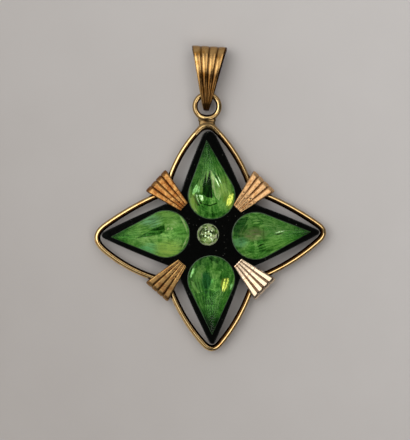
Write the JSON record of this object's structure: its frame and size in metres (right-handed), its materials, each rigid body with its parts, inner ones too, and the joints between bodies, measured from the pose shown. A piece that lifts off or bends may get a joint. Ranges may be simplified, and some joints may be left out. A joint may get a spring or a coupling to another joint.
{
  "type": "pendant",
  "caption": "Star pendant: green pear stones set in a glossy black star plate, held in a gold-coloured wire star by folded grooved clamps, with a ring and a fluted bail.",
  "frame": {"origin": "middle of the footprint, on the surface that the pendant lies on", "axes": "+Z is the face, +Y points to the bail, and +X is to the right as seen from the face"},
  "size_m": [0.0382, 0.0502, 0.0042],
  "materials": {
    "wire_gold": "polished gold plate on round wire",
    "clamp_gold": "polished gold plate, worn to a warmer metal on the ridges",
    "bail_gold": "polished gold plate on grooved strip",
    "black_plate": "high gloss with fine dust and hairline scratches",
    "green_stone": "faceted, foil backed, light rubbing on the facet edges",
    "pale_green_stone": "faceted round cut, foil backed"
  },
  "bodies": {
    "pendant": {"frame": "wire_gold", "star_plate": "black_plate", "stone_right": "green_stone", "stone_top": "green_stone", "stone_left": "green_stone", "stone_bottom": "green_stone", "centre_stone": "pale_green_stone", "clamp_upper_right": "clamp_gold", "clamp_upper_left": "clamp_gold", "clamp_lower_left": "clamp_gold", "clamp_lower_right": "clamp_gold"},
    "bail": {"bail": "bail_gold"}
  },
  "joints": [
    {"name": "bail_hinge", "type": "hinge", "parent": "pendant", "child": "bail", "pos_m": [-0.00053, 0.01709, 0.00175], "axis": [0.9985, -0.0541, 0], "range_deg": [-110, 110]}
  ]
}
